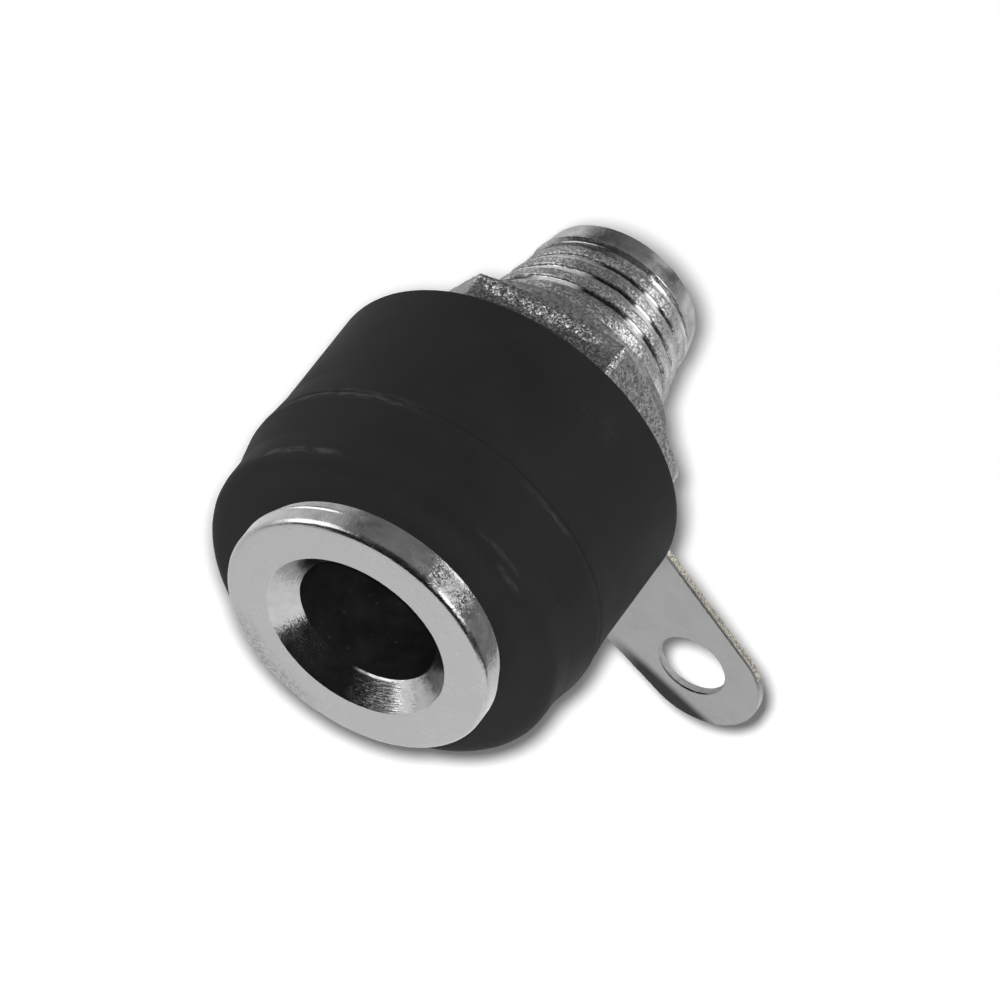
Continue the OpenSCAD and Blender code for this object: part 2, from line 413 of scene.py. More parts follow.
def countersink_finish():
    """Bright nickel in the countersink, with a patch of chatter marks, a painted highlight low on the right
    and a painted highlight along the lip at the bore.
    """
    material, place = new_finish("plated_countersink")
    _, y, _ = xyz(place)
    middle = FACE_Y + 0.35 * MM
    mottle = grain(place, 0.3 * MM, detail=4.0, roughness=0.65)
    chatter = arc_patch(place, 278, 24, middle, 1.2 * MM)
    # Painted highlights: a brighter patch low on the right, and a pale, less metallic lip at the bore
    bright = arc_patch(place, 307, 18, middle, 2 * MM)
    lip = arc_patch(place, 280, 24, SINK_END_Y, 2 * MM) * mottle.eased(0.3, 0.6, 0.5, 1.0)
    lip = lip * y.eased(SINK_END_Y - 0.075 * MM, SINK_END_Y - 0.045 * MM)
    level = mottle.eased(0.3, 0.7, 0.37, 0.43) * (1 - chatter * 0.62) + bright * 0.18
    surface = bump(turning_marks(place, 0.05 * MM, 3.0), 0.006 * MM)
    surface = bump(turning_marks(place, 0.06 * MM, 9.0), 0.015 * MM, surface, chatter)
    return finished(material, {
        "Metallic": 1 - lip * 0.7,
        "Base Color": grey(strongest(level, lip * 0.7)),
        "Roughness": chatter * 0.14 + mottle.eased(0.25, 0.75, 0.12, 0.22),
        "Normal": facets(place, 0.035 * MM, chatter * 0.1 + 0.07, surface)})


def bore_finish():
    """The bore's wall: dull and coloured nearly black, as painted shade inside the bore, with a few bright
    specks.
    """
    material, place = new_finish("bore_wall")
    mottle = grain(place, 0.8 * MM, detail=4.0, roughness=0.6)
    specks = grain(place, 0.14 * MM, detail=1.0).eased(0.72, 0.8)
    # Nearly black base: painted shade inside the bore
    tone = mottle.eased(0.25, 0.75, 0.0, 0.2) + specks
    return finished(material, {
        "Base Color": two_tones(tone, grey(0.0045), grey(0.03)),
        "Roughness": 0.6,
        "Specular IOR Level": 0.15,
        "Normal": bump(mottle, 0.02 * MM)})


def painted(place, name):
    """What the turning tree stored on the piece under a name."""
    return field(place.tree, "ShaderNodeAttribute", output="Fac", attribute_name=name)


def last_groove_shade(place):
    """Painted shade: the crest in front of the last groove is darker on the left."""
    _, y, _ = xyz(place)
    near = abs(y - (LAST_GROOVE_Y - 0.22 * MM)).eased(0.1 * MM, 0.24 * MM, 0.75, 0.0)
    return 1 - near * arc_patch(place, 112, 40, LAST_GROOVE_Y, 3 * MM)


def plain_end_painted_light(place, cloud):
    """The tail's plain end gets painted shade on top and on the right, and a painted highlight between them.
    """
    _, y, _ = xyz(place)
    # Painted shade on top and on the right, mottled by the cloud
    on_top = arc_patch(place, 92, 24, TAIL_Y, 2 * MM) * 0.3
    on_right = arc_patch(place, 37, 13, TAIL_Y, 2 * MM) * 0.5
    past_thread = y.eased(LAST_GROOVE_Y, LAST_GROOVE_Y + 0.12 * MM)
    painted_shade = strongest(on_top, on_right) * past_thread * cloud.eased(0.25, 0.6, 0.7, 1.0)
    # A painted highlight between them
    rubbed = arc_patch(place, 57, 10, TAIL_Y, 1.4 * MM) * cloud.eased(0.3, 0.6)
    return (1 - painted_shade) * (rubbed * 0.5 + 1.0)


def thread_finish():
    """Worn nickel on the tail: frosted crests, polished shoulders with painted highlights and glints,
    painted shade in the grooves, and a smooth plain end.
    """
    material, place = new_finish("worn_thread")
    _, y, _ = xyz(place)
    shoulder = painted(place, "shoulder")
    painted_groove_shade = painted(place, "painted_groove_shade")
    fine = grain(place, 0.07 * MM, detail=3.0, roughness=0.6)
    cloud = grain(place, 0.5 * MM, detail=4.0, roughness=0.65)

    # Shoulders are polished on the left and the right and painted brighter there as painted highlights, with
    # painted glints where they face the light
    left = arc_patch(place, 114, 42, FIRST_GROOVE_Y, 2.2 * MM) * 0.6
    right = arc_patch(place, 47, 13, LAST_GROOVE_Y - THREAD_PITCH, 3 * MM) * 0.7
    burnish_and_highlight = shoulder.eased(0.05, 0.35) * strongest(left, right, 0.12)
    lit_left = arc_patch(place, 100, 20, FIRST_GROOVE_Y, 2 * MM)
    lit_right = arc_patch(place, 46, 9, FIRST_GROOVE_Y + THREAD_PITCH, 2.4 * MM)
    glint = strongest(
        shoulder.eased(0.3, 0.7) * lit_left,
        shoulder.eased(0.1, 0.5) * lit_right,
        painted_groove_shade.eased(0.2, 0.6) * lit_right)

    # Frost on the crests and painted shade in the grooves are both smeared on the far right
    smeared = arc_patch(place, 4, 26, FIRST_GROOVE_Y, 9 * MM)
    threaded = y.eased(LAST_GROOVE_Y - 0.3 * MM, LAST_GROOVE_Y + 0.1 * MM, 1.0, 0.1)
    frosted = threaded * (1 - strongest(burnish_and_highlight, smeared * 0.6))
    # The grooves are darkened as painted shade, less on the far right
    unshaded = 1 - painted_groove_shade * (0.9 - smeared * 0.75)

    tone = cloud.eased(0.25, 0.75, 0.4, 1.0) * (1 - frosted * fine.eased(0.62, 0.38))
    # Shoulders are painted brighter where they face the light: a painted highlight
    level = unshaded * (tone.eased(0.0, 1.0, 0.2, 0.58) + burnish_and_highlight * 0.45)
    # Painted shade on the last crest's left, and painted shade and a painted highlight on the plain end
    level = level * last_groove_shade(place) * plain_end_painted_light(place, cloud)
    surface = bump(turning_marks(place, 0.05 * MM, 3.0), 0.003 * MM)
    surface = bump(cloud, 0.025 * MM, surface, 1 - burnish_and_highlight)
    return finished(material, {
        "Metallic": 1 - strongest(frosted * unshaded * 0.12, glint * 0.5),
        "Base Color": grey(strongest(level, glint * 0.9)),
        "Specular Tint": grey(burnish_and_highlight * 0.4 + 0.6),
        "Roughness": frosted * 0.2 + cloud.eased(0.25, 0.75, 0.12, 0.22),
        "Normal": facets(place, 0.05 * MM, frosted * 0.26, surface)})


def moulding_finish(name, scuffs_and_highlights):
    """Matt black moulding, paler in the given arcs, each with its strength: scuff marks, and painted
    highlights where given.
    """
    material, place = new_finish(name)
    x, y, z = xyz(place)
    streaks = grain(joined(x * 0.22, y, z * 0.22), 0.11 * MM, detail=5.0, roughness=0.7)
    patches = grain(place, 1.8 * MM, detail=3.0)
    specks = grain(place, 0.16 * MM, detail=1.0).eased(0.76, 0.82)
    # Each arc is a scuff mark, except those given as painted highlights
    rubbed = strongest(*(arc_patch(place, *patch) * strength for *patch, strength in scuffs_and_highlights))
    pale = strongest(streaks.eased(0.4, 0.66) * rubbed, specks * 0.1)
    pale = pale + patches.eased(0.3, 0.7, 0.0, 0.05)
    skin = bump(grain(place, 0.07 * MM, detail=3.0), 0.0025 * MM)
    return finished(material, {
        "Base Color": two_tones(pale, grey(0.0108), grey(0.054)),
        "Roughness": patches.eased(0.3, 0.7, 0.6, 0.7),
        "Diffuse Roughness": 0.8,
        "Specular IOR Level": 0.06,
        "Normal": bump(streaks, 0.0015 * MM, skin)})


def nut_finish():
    """Coarse plating: a dark, smooth front band, a glittering crust behind it, and a plain collar."""
    material, place = new_finish("grainy_plating")
    _, y, _ = xyz(place)
    coarse = grain(place, 0.2 * MM, detail=3.0, roughness=0.65)
    fine = grain(place, 0.06 * MM, detail=3.0, roughness=0.6)
    pitted = grain(place, 0.11 * MM, detail=2.0, roughness=0.6).eased(0.38, 0.62)

    # On top the band and the crust meet along a wandering line, and one corner sparkles, partly with a
    # painted highlight
    top = arc_patch(place, 86, 40, HEX_REAR_Y - 0.45 * MM, 5 * MM)
    corner = arc_patch(place, 51.5, 2.2, HEX_REAR_Y - 0.85 * MM, 0.8 * MM)
    wander = y + (coarse - 0.5) * (0.5 * MM)
    band = top * wander.eased(HEX_REAR_Y - 0.85 * MM, HEX_REAR_Y - 0.65 * MM, 1.0, 0.0)
    crust = top * (wander.eased(HEX_REAR_Y - 0.75 * MM, HEX_REAR_Y - 0.62 * MM)
                   * wander.eased(HEX_REAR_Y - 0.35 * MM, HEX_REAR_Y - 0.18 * MM, 1.0, 0.0))

    # The collar and two patches of the hexagon are smoother than the rest
    plain = y.eased(HEX_REAR_Y - 0.05 * MM, HEX_REAR_Y + 0.05 * MM, 1.0, 0.6)
    smooth = strongest(arc_patch(place, 58, 7, HEX_REAR_Y - 0.4 * MM, 0.5 * MM),
                       arc_patch(place, -10, 9, HEX_REAR_Y - 0.6 * MM, 1.2 * MM))
    rough = plain * (1 - smooth)

    mottled = strongest(smooth, pitted * 0.7 + coarse.eased(0.3, 0.7, 0.0, 0.3))
    tone = mottled * (1 - strongest(band * 0.9, 1 - plain))
    plating = two_tones(tone, grey(0.15), grey(0.43))
    # Pale crumbs: sparse on the rough hexagon, and thick in the crust and on the one corner, where they are
    # painted highlights
    crumbs = xyz(crystals(place, 0.05 * MM))[0].eased(0.45, 0.95)
    lit = crumbs * strongest(crust, corner, rough * 0.3)
    matt = y.eased(HEX_REAR_Y - 0.1 * MM, HEX_REAR_Y, 0.0, 0.3)
    surface = bump(coarse, 0.03 * MM, strength=rough)
    surface = facets(place, 0.05 * MM, rough * 0.18, surface)
    sparkle = strongest(crust * fine.eased(0.36, 0.5), corner * 0.8)
    return finished(material, {
        "Metallic": 1 - lit * 0.5,
        "Base Color": two_tones(lit, plating, grey(0.6)),
        "Specular Tint": grey(0.6),
        "Roughness": matt + fine.eased(0.3, 0.7, 0.22, 0.34),
        "Normal": facets(place, 0.07 * MM, sparkle * 0.9, surface)})


def tag_finish():
    """Satin tin on rolled sheet, faintly clouded, with the rolled edge low on the left painted dark as
    painted shade.
    """
    material, place = new_finish("satin_tin")
    x, y, z = xyz(place)
    along = lying_along(x, z, (math.cos(TAG_TURN), -math.sin(TAG_TURN)))
    across = lying_along(x, z, (-math.sin(TAG_TURN), -math.cos(TAG_TURN)))
    edge_from, edge_to = 6.4 * MM, 8.2 * MM
    inward = across + (along - edge_to) * 0.22
    # The rolled edge low on the left is painted dark: painted shade
    rolled = (inward.eased(1.3 * MM, 1.7 * MM) * along.eased(edge_from, edge_to)
              * y.eased(TAG_REAR_Y - 0.1 * MM, TAG_REAR_Y - 0.02 * MM, 1.0, 0.0))
    cloud = grain(place, 0.9 * MM, detail=4.0, roughness=0.6)
    tin = two_tones(cloud.eased(0.3, 0.7), grey(0.285), grey(0.315))
    return finished(material, {
        "Metallic": 1.0,
        "Base Color": two_tones(rolled, tin, grey(0.025)),
        "Roughness": cloud.eased(0.3, 0.7, 0.26, 0.34),
        "Normal": bump(grain(place, 0.12 * MM, detail=3.0), 0.0015 * MM)})


def pierced_finish():
    """The wire hole's wall: dull tin, lightly scored."""
    material, place = new_finish("dull_tin")
    scored = grain(place, 0.1 * MM, detail=3.0, roughness=0.6)
    return finished(material, {
        "Metallic": 0.3,
        "Base Color": two_tones(scored.eased(0.3, 0.7), grey(0.24), grey(0.34)),
        "Roughness": 0.5,
        "Normal": bump(scored, 0.01 * MM)})


def sheared_finish():
    """The tag's sheared edge: bare brass, torn and glittering."""
    material, place = new_finish("sheared_brass")
    dark_brass, light_brass = (0.42, 0.39, 0.32, 1), (0.8, 0.76, 0.66, 1)
    torn = grain(place, 0.06 * MM, detail=3.0, roughness=0.6)
    return finished(material, {
        "Metallic": 1.0,
        "Base Color": two_tones(torn.eased(0.35, 0.65), dark_brass, light_brass),
        "Roughness": torn.eased(0.3, 0.7, 0.2, 0.4),
        "Normal": facets(place, 0.05 * MM, 0.5, bump(torn, 0.02 * MM))})


# How turned pieces are made

def arc_points(before, corner, after, radius, steps=6):
    """Points of a fillet in the corner of a profile."""
    back = (before - corner).normalized()
    ahead = (after - corner).normalized()
    half = back.angle(ahead) / 2
    room = 0.45 * min((before - corner).length, (after - corner).length)
    reach = min(radius / math.tan(half), room)
    start, end = corner + back * reach, corner + ahead * reach
    centre = corner + (back + ahead).normalized() * (reach / math.cos(half))
    first, last = start - centre, end - centre
    sweep = first.angle_signed(last)
    return [centre + Matrix.Rotation(-sweep * i / steps, 2) @ first for i in range(steps + 1)]


def half_profile(corners):
    """A closed half profile; a corner is a radius, a place, a fillet and the step of the next run."""
    places = [Vector((r, y)) for r, y, _, _ in corners]
    count = len(corners)
    fillets = []
    for i, (_, _, fillet, _) in enumerate(corners):
        around = places[i - 1], places[i], places[(i + 1) % count]
        fillets.append(arc_points(*around, fillet) if fillet else [places[i]])
    points = []
    for i, (_, _, _, step) in enumerate(corners):
        points += fillets[i]
        start, end = fillets[i][-1], fillets[(i + 1) % count][0]
        runs = max(1, round((end - start).length / step))
        points += [start.lerp(end, k / runs) for k in range(1, runs)]
    return points + [points[0]]


# The turning tree's inputs, with what a plain round piece gives them
ROUND_PIECE = {
    "Segments": BUSH_SEGMENTS,
    "Flats Width": 1.0, "Flats Turn": 0.0, "Edge Softness": 0.0,
    "Groove Pitch": 1.0, "Groove Depth": 0.0, "Groove Width": 0.1, "Groove Shoulder": 0.1,
    "Groove Rise": 0.1, "Groove Place": 0.0, "Groove Turn": 0.0, "Groove Wander": 0.0,
    "Lead Place": 0.0, "Lead Slope": 0.0,
    "Grain Size": 1.0}


def held(tree, name):
    """What the geometry holds under a name."""
    return field(tree, "GeometryNodeInputNamedAttribute", {"Name": name}, data_type="FLOAT")


def round_place(radius, along, angle):
    """The place at a radius, a length along the axis and an angle round it."""
    return joined(radius * angle.step("COSINE"), along, radius * angle.step("SINE"))


def hexagon_radius(given, angle):
    """Distance of a hexagon's flats from the axis at this angle."""
    sixth = math.tau / 6
    part = (angle - given["Flats Turn"]) / sixth
    off_flat = (part - part.step("ROUND")) * sixth
    return given["Flats Width"] * 0.5 / off_flat.step("COSINE")


def cut_groove(given, radius, along, turn, share, stepped):
    """Cuts a right-handed groove: how deep it is here, its shoulder, and where painted shade darkens it.

    Each crest keeps one radius up to a sloping shoulder, and the next one rises steeply behind the groove.
    """
    pitch, width = given["Groove Pitch"], given["Groove Width"]
    at = round_place(radius, along, turn * math.tau)
    wander = (grain(at, WANDER_GRAIN, detail=3.0) - 0.5) * given["Groove Wander"]
    lead = (along - given["Groove Place"]) / pitch + (turn - given["Groove Turn"] + wander)
    past = lead.step("FRACT") * pitch
    ahead = pitch - past

    def lowered(distance):
        """How far the tapering lead falls between this place and one the given distance behind it."""
        here = along - given["Lead Place"]
        fall = strongest(here + distance, 0.0) - strongest(here, 0.0)
        return fall * given["Lead Slope"] * stepped

    depth = share * given["Groove Depth"]
    to_edge = ahead - width
    slope = to_edge.straight(0.0, given["Groove Shoulder"], 1.0, 0.0)
    inside = to_edge.straight(width * -0.2, 0.0, 1.0, 0.0)
    climb = past.straight(0.0, given["Groove Rise"], 1.0, 0.0)
    shoulder = share * slope * given["Groove Shoulder"] * SHOULDER_SLOPE
    sunk = strongest(
        shoulder + lowered(ahead),
        inside * (depth + lowered(pitch)),
        climb * depth + lowered(ahead))
    return sunk, share * slope, share * strongest(inside, climb)


def turning_tree():
    """Sweeps a half profile round the axis, with flats for a spanner, a helical groove and coarse grain."""
    tree = bpy.data.node_groups.new("turned piece", "GeometryNodeTree")
    sockets = tree.interface
    sockets.new_socket("Profile", in_out="INPUT", socket_type="NodeSocketGeometry")
    for name, value in ROUND_PIECE.items():
        kind = "NodeSocketInt" if isinstance(value, int) else "NodeSocketFloat"
        sockets.new_socket(name, in_out="INPUT", socket_type=kind)
    sockets.new_socket("Finish", in_out="INPUT", socket_type="NodeSocketMaterial")
    sockets.new_socket("Piece", in_out="OUTPUT", socket_type="NodeSocketGeometry")
    given = {socket.name: Field(tree, socket) for socket in tree.nodes.new("NodeGroupInput").outputs}
    position = field(tree, "GeometryNodeInputPosition")

    # One row of the grid for each point of the profile, and one column for each turn
    profile = given["Profile"]
    rows = field(tree, "GeometryNodeAttributeDomainSize", {0: profile}, "Point Count", component="MESH")
    grid = field(tree, "GeometryNodeMeshGrid", {
        "Vertices X": given["Segments"] + 1.0, "Vertices Y": rows}, "Mesh")
    index = field(tree, "GeometryNodeInputIndex")
    row = index.step("MODULO", rows)
    turn = (index / rows).step("FLOOR") / given["Segments"]
    angle = turn * math.tau

    def on_profile(value, kind="FLOAT"):
        """What the profile holds at this row."""
        inputs = {"Geometry": profile, "Value": value, "Index": row}
        return field(tree, "GeometryNodeSampleIndex", inputs, data_type=kind, domain="POINT")

    radius, along, _ = xyz(on_profile(position, "FLOAT_VECTOR"))
    radius = radius.step("SMOOTH_MIN", hexagon_radius(given, angle), given["Edge Softness"])
    share, stepped = on_profile(held(tree, "groove")), on_profile(held(tree, "stepped"))
    sunk, shoulder, painted_groove_shade = cut_groove(given, radius, along, turn, share, stepped)
    place = round_place(radius - sunk, along, angle)
    piece = field(tree, "GeometryNodeSetPosition", {"Geometry": grid, "Position": place})
    # Stored for the finish: grain depth, the shoulders, and the grooves' painted shade
    stored = {"grain": on_profile(held(tree, "grain")), "shoulder": shoulder, "painted_groove_shade": painted_groove_shade}
    for name, value in stored.items():
        inputs = {"Geometry": piece, "Name": name, "Value": value}
        piece = field(tree, "GeometryNodeStoreNamedAttribute", inputs, data_type="FLOAT", domain="POINT")
    piece = field(tree, "GeometryNodeMergeByDistance", {"Geometry": piece, "Distance": 0.0001 * MM})

    # Coarse grain, most of it sunk into the surface
    push = (grain(position, given["Grain Size"], roughness=0.6) - 0.62) * held(tree, "grain")
    offset = field(tree, "GeometryNodeInputNormal").vector_step("SCALE", {"Scale": push})
    piece = field(tree, "GeometryNodeSetPosition", {"Geometry": piece, "Offset": offset})
    piece = field(tree, "GeometryNodeSetShadeSmooth", {"Geometry": piece})
    piece = field(tree, "GeometryNodeRealizeInstances", {"Geometry": piece})
    piece = field(tree, "GeometryNodeSetMaterial", {"Geometry": piece, "Material": given["Finish"]})
    node(tree, "NodeGroupOutput", {0: piece})
    return tree


def add_object(name, data):
    """A new object in the scene."""
    made = bpy.data.objects.new(name, data)
    bpy.context.scene.collection.objects.link(made)
    return made


def outward(mesh):
    """Points a closed mesh's faces outwards and keeps its crisp edges crisp."""
    work = bmesh.new()
    work.from_mesh(mesh)
    bmesh.ops.recalc_face_normals(work, faces=work.faces)
    work.to_mesh(mesh)
    work.free()
    mesh.set_sharp_from_angle(angle=CRISP_ANGLE)


def nowhere(radius, place):
    """A quality that a piece has none of."""
    return 0.0


def turned_piece(name, tree, corners, finish,
                 groove=nowhere, stepped=nowhere, grain_depth=nowhere, **changes):
    """Makes a turned piece from its profile, as a plain mesh; the changes are inputs of the turning tree."""
    points = half_profile(corners)
    profile = bpy.data.meshes.new(name + "_profile")
    profile.from_pydata([(r, y, 0) for r, y in points], [], [])
    for quality, amount in (("groove", groove), ("stepped", stepped), ("grain", grain_depth)):
        values = profile.attributes.new(quality, "FLOAT", "POINT").data
        for value, (r, y) in zip(values, points):
            value.value = amount(r, y)
    piece = add_object(name, profile)
    shape = piece.modifiers.new("shape", "NODES")
    shape.node_group = tree
    changed = {key.replace("_", " ").title(): value for key, value in changes.items()}
    values = {**ROUND_PIECE, **changed, "Finish": finish}
    for item in tree.interface.items_tree:
        if item.in_out == "INPUT" and item.name in values:
            shape[item.identifier] = values[item.name]
    depsgraph = bpy.context.evaluated_depsgraph_get()
    mesh = bpy.data.meshes.new_from_object(piece.evaluated_get(depsgraph), depsgraph=depsgraph)
    piece.modifiers.clear()
    piece.data = mesh
    mesh.name = name
    outward(mesh)
    return piece


def paint_zones(piece, zones):
    """Gives stretches of a turned piece finishes of their own; a zone is a test of radius and place."""
    for finish, inside in zones:
        piece.data.materials.append(finish)
        number = len(piece.data.materials) - 1
        for face in piece.data.polygons:
            x, y, z = face.center
            if inside(math.hypot(x, z), y):
                face.material_index = number


def dress(piece, node_name):
    """Puts a finished piece in the place of its solid."""
    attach(piece, "root")
    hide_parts(node_name)
    return piece


# Turned pieces

def on_tail(r, y):
    """Whether a point of the profile is on the outside of the tail, behind the nut."""
    return r > TAIL_END_R - TAIL_BEVEL and y > THREAD_FROM_Y


def thread_share(r, y):
    """How much of the groove is left: it is worn away next to the nut and runs out at the plain end."""
    if not on_tail(r, y) or y > THREAD_TO_Y:
        return 0.0
    return min(1.0, (y - THREAD_FROM_Y) / THREAD_FADES_IN, (THREAD_TO_Y - y) / THREAD_FADES_OUT)


def thread_step(r, y):
    """The crests keep their radius up to the last groove, and the plain end tapers."""
    if not on_tail(r, y):
        return 0.0
    return min(1.0, max(0.0, (STEPS_TO_Y - y) / STEPS_FADE_OUT))


def make_sleeve(tree):
    """Turned sleeve: flange, countersunk plug bore, shank, and a threaded tail that tapers to its end."""
    piece = turned_piece("contact_sleeve_turned", tree, [
        (SINK_R, FACE_Y, 0.03 * MM, 0.15 * MM),
        (FLANGE_R, FACE_Y, FLANGE_EDGE, 0.1 * MM),
        (FLANGE_R, FLANGE_LAND_Y, 0.08 * MM, 0.1 * MM),
        (FLANGE_R - FLANGE_FALL, BUSH_FRONT_Y, 0.04 * MM, 0.3 * MM),
        (THREAD_R, BUSH_FRONT_Y, 0.05 * MM, 0.5 * MM),
        (THREAD_R, THREAD_FROM_Y, 0.0, 0.015 * MM),
        (THREAD_R, LEAD_Y, 0.1 * MM, 0.015 * MM),
        (TAIL_END_R, TAIL_Y - TAIL_BEVEL, 0.05 * MM, 0.05 * MM),
        (TAIL_END_R - TAIL_BEVEL, TAIL_Y, 0.03 * MM, 0.1 * MM),
        (BORE_R + BORE_EXIT_CHAMFER, TAIL_Y, 0.03 * MM, 0.1 * MM),
        (BORE_R, TAIL_Y - BORE_EXIT_CHAMFER, 0.03 * MM, 0.5 * MM),
        (BORE_R, SINK_END_Y, 0.02 * MM, 0.06 * MM),
    ], rim_finish(), groove=thread_share, stepped=thread_step, segments=SLEEVE_SEGMENTS,
        groove_pitch=THREAD_PITCH, groove_depth=GROOVE_DEPTH, groove_width=GROOVE_WIDTH,
        groove_shoulder=GROOVE_SHOULDER, groove_rise=GROOVE_RISE, groove_place=LAST_GROOVE_Y,
        groove_turn=GROOVE_TURN, groove_wander=GROOVE_WANDER, lead_place=LEAD_Y, lead_slope=LEAD_SLOPE)
    near = 0.02 * MM
    paint_zones(piece, [
        (face_finish(), lambda r, y: y < FACE_Y + near and r > SINK_R),
        (countersink_finish(), lambda r, y: y < SINK_END_Y and r < SINK_R),
        (bore_finish(), lambda r, y: y > SINK_END_Y - near and r < BORE_R + near),
        (thread_finish(), lambda r, y: y > BUSH_FRONT_Y and r > BORE_R + near),
    ])
    return dress(piece, "contact_sleeve")


def make_front_bush(tree):
    """Front bush: rounded bead, shallow line, flare to the rim, and the spigot behind."""
    finish = moulding_finish("front_black", [
        (116, 34, SEAM_Y - 0.1 * MM, 0.16 * MM, 0.6),
        (44, 14, SEAM_Y - 0.18 * MM, 0.1 * MM, 0.5),
        # A painted highlight along the bead's crest, given like a scuff mark
        (121, 22, BUSH_FRONT_Y + 0.43 * MM, 0.14 * MM, 0.6),
        (46, 12, BUSH_FRONT_Y + 0.45 * MM, 0.12 * MM, 0.3),
        (39, 7, BUSH_FRONT_Y + 0.18 * MM, 0.1 * MM, 0.3),
    ])
    piece = turned_piece("front_bush", tree, [
        (SHANK_HOLE_R, BUSH_FRONT_Y, 0.05 * MM, 0.3 * MM),
        (BEAD_R, BUSH_FRONT_Y, BEAD_ROUND, 0.06 * MM),
        (BEAD_R, BEAD_END_Y - BEAD_LINE, 0.03 * MM, 0.03 * MM),
        (BEAD_R - BEAD_LINE, BEAD_END_Y, 0.03 * MM, 0.06 * MM),
        (RIM_R, RIM_Y, 0.15 * MM, 0.06 * MM),
        (RIM_R, SEAM_Y, RIM_ROUND, 0.2 * MM),
        (SPIGOT_R, SEAM_Y, 0.03 * MM, 0.2 * MM),
        (SPIGOT_R, SPIGOT_END_Y - SPIGOT_BEVEL, 0.04 * MM, 0.1 * MM),
        (SPIGOT_R - SPIGOT_BEVEL, SPIGOT_END_Y, 0.04 * MM, 0.2 * MM),
        (SHANK_HOLE_R, SPIGOT_END_Y, 0.04 * MM, 0.4 * MM),
    ], finish)
    # The flange's edge mirrors the studio and not the dark bush behind it
    piece.visible_glossy = False
    return dress(piece, "front_insulator")


def make_rear_bush(tree):
    """Rear bush: a plain cup, flared at the seam, whose counterbore takes the spigot."""
    finish = moulding_finish("rear_black", [
        (116, 30, SEAM_Y + 0.08 * MM, 0.1 * MM, 0.4),
        (47, 12, BUSH_REAR_Y - 1.25 * MM, 0.7 * MM, 0.07),
    ])
    piece = turned_piece("rear_bush", tree, [
        (COUNTERBORE_R, SEAM_Y, 0.05 * MM, 0.2 * MM),
        (SEAM_R, SEAM_Y, REAR_ROUND, 0.1 * MM),
        (REAR_R, REAR_FLARE_Y, 0.5 * MM, 0.1 * MM),
        (REAR_R, BUSH_REAR_Y, REAR_ROUND, 0.2 * MM),
        (SHANK_HOLE_R, BUSH_REAR_Y, 0.04 * MM, 0.3 * MM),
        (SHANK_HOLE_R, COUNTERBORE_END_Y, 0.04 * MM, 0.3 * MM),
        (COUNTERBORE_R, COUNTERBORE_END_Y, 0.04 * MM, 0.3 * MM),
    ], finish)
    return dress(piece, "rear_insulator")


def nut_grain_depth(r, y):
    """The hexagon is grainy, and its collar and hole are not."""
    return NUT_GRAIN_DEPTH if y < HEX_REAR_Y and r > NUT_COLLAR_R else 0.0


def make_nut(tree):
    """Hexagon nut with chamfered rear corners, a round collar and a coarse, grainy plating."""
    piece = turned_piece("hex_nut_plated", tree, [
        (NUT_HOLE_R + NUT_MOUTH, TAG_REAR_Y, 0.04 * MM, 0.2 * MM),
        (NUT_CORNER_R, TAG_REAR_Y, 0.04 * MM, 0.04 * MM),
        (NUT_CORNER_R, HEX_REAR_Y - NUT_CHAMFER, 0.0, 0.035 * MM),
        (NUT_FACE_R, HEX_REAR_Y, 0.06 * MM, 0.04 * MM),
        (NUT_COLLAR_R, HEX_REAR_Y, 0.05 * MM, 0.06 * MM),
        (NUT_COLLAR_R, NUT_REAR_Y, 0.06 * MM, 0.1 * MM),
        (NUT_HOLE_R + NUT_MOUTH, NUT_REAR_Y, 0.04 * MM, 0.1 * MM),
        (NUT_HOLE_R, NUT_REAR_Y - NUT_MOUTH, 0.04 * MM, 0.2 * MM),
        (NUT_HOLE_R, TAG_REAR_Y + NUT_MOUTH, 0.04 * MM, 0.1 * MM),
    ], nut_finish(), grain_depth=nut_grain_depth, segments=NUT_SEGMENTS, grain_size=NUT_GRAIN,
        flats_width=NUT_FLATS, flats_turn=NUT_TURN, edge_softness=NUT_EDGE)
    return dress(piece, "hex_nut")


# Stamped tag

def arc(centre, radius, start, end, step):
    """Points along an arc in the tag's plane."""
    count = max(3, round(abs(end - start) * radius / step))
    turns = [start + (end - start) * i / count for i in range(count + 1)]
    return [centre + radius * Vector((math.cos(a), math.sin(a))) for a in turns]


def circle(reach, radius, step):
    """Outline of a round hole whose centre lies on the tag's middle line."""
    return arc(Vector((reach, 0)), radius, 0, math.tau, step)[:-1]


def tag_outline(step):
    """Outline of the tag in its own plane, tab along the first axis: round end, sides, fillets and ring."""
    tip = Vector((TAG_REACH, 0))
    slope = math.tan(TAG_TAPER)
    side = TAG_TIP_R / math.cos(TAG_TAPER) + TAG_REACH * slope + TAG_FILLET / math.cos(TAG_TAPER)
    reach = TAG_RING_R + TAG_FILLET
    a, b = 1 + slope * slope, side * slope
    along = (b + math.sqrt(b * b - a * (side * side - reach * reach))) / a
    corner = Vector((along, side - along * slope))
    quarter = math.pi / 2
    ring_end = math.atan2(corner.y, corner.x)
    half = arc(tip, TAG_TIP_R, 0.0, quarter - TAG_TAPER, step)
    fillet = arc(corner, TAG_FILLET, -quarter - TAG_TAPER, -math.pi + ring_end, step)
    runs = round((fillet[0] - half[-1]).length / step)
    sides = [half[-1].lerp(fillet[0], i / runs) for i in range(1, runs)]
    upper = half + sides + fillet + arc(Vector((0, 0)), TAG_RING_R, ring_end, math.pi, step)[1:]
    lower = [Vector((p.x, -p.y)) for p in reversed(upper[1:-1])]
    return upper + lower


